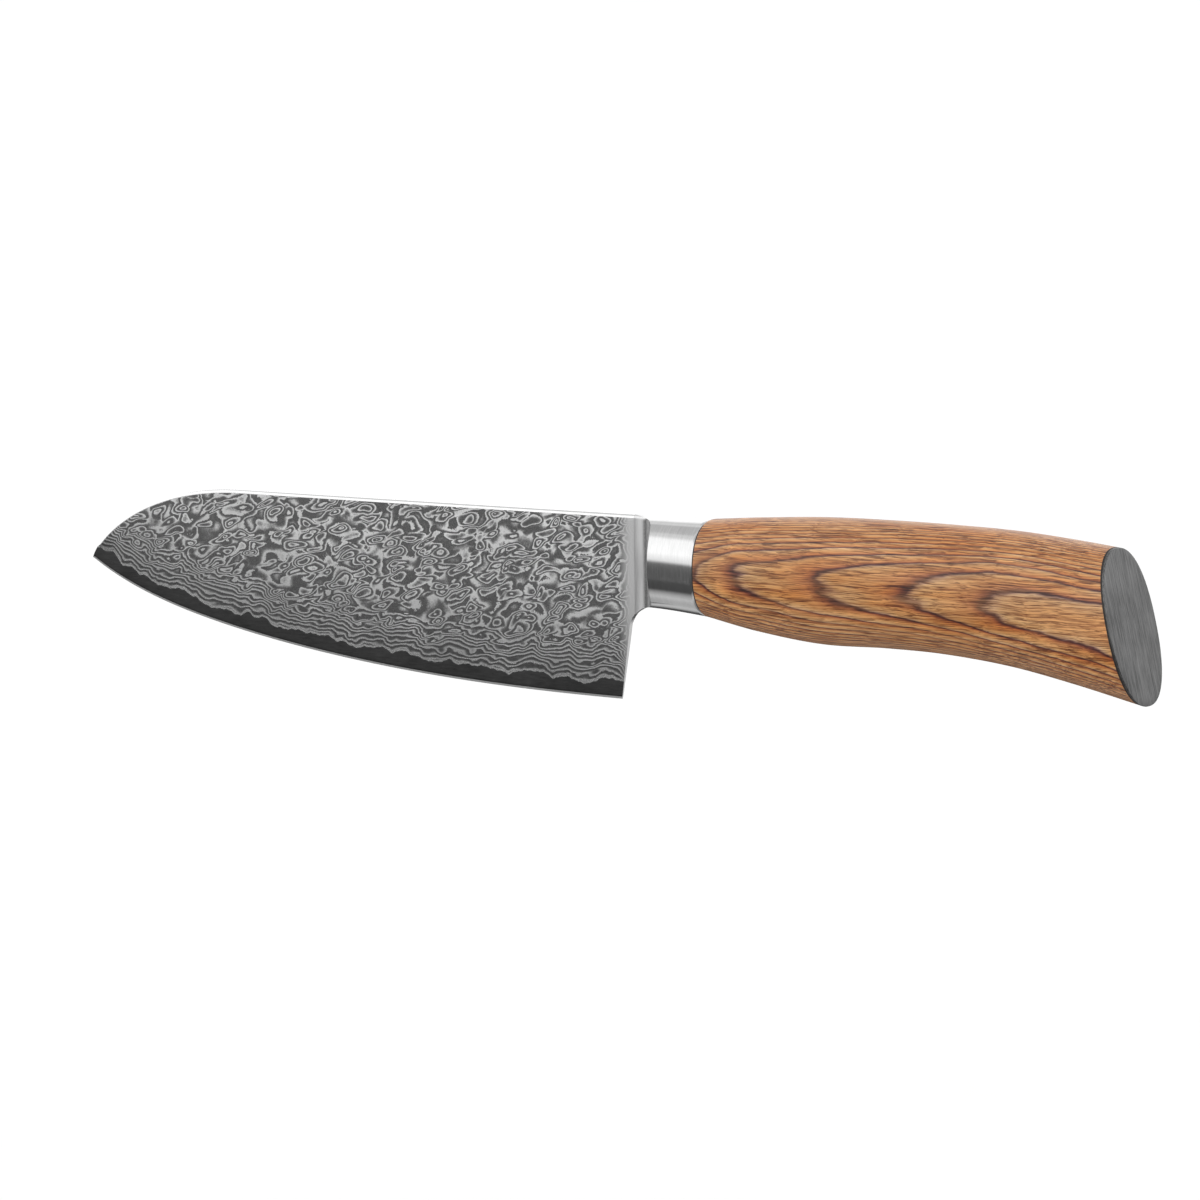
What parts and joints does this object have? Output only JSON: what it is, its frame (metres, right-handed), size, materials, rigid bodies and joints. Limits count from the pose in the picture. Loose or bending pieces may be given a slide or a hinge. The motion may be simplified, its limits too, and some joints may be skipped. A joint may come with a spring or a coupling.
{
  "type": "chef knife",
  "caption": "Chef knife with a layered patterned-steel blade, a hollow oval bolster, a waisted wooden handle and a slanted steel butt cap.",
  "frame": {"origin": "middle of the lower face of the bounding box, at the height of the heel of the cutting edge", "axes": "+X from the tip to the butt, +Y to the knife's right side, +Z from the cutting edge to the spine"},
  "size_m": [0.3053, 0.0232, 0.0483],
  "materials": {
    "core_steel": "hard middle layer, fine satin with a polished cutting bevel",
    "patterned_steel": "etched layered steel, light contour lines on a dark grey ground",
    "bolster_steel": "satin, brushed around the oval",
    "inner_steel": "plain, hidden in the handle",
    "handle_wood": "golden brown pressed wood with dark layered grain, satin",
    "resin": "cured clear amber resin, hidden",
    "black_fibre": "black vulcanised fibre",
    "cap_steel": "dark satin, brushed along the long axis of the face"
  },
  "bodies": {
    "root": {"blade_core": "core_steel", "cladding_left": "patterned_steel", "cladding_right": "patterned_steel", "bolster": "bolster_steel", "tang": "inner_steel", "tang_stud": "inner_steel", "handle_block": "handle_wood", "resin_fill": "resin", "stud_washer": "inner_steel", "stud_nut": "inner_steel", "rear_spacer": "black_fibre", "end_cap": "cap_steel", "cap_pin_upper": "inner_steel", "cap_pin_lower": "inner_steel"}
  },
  "joints": []
}
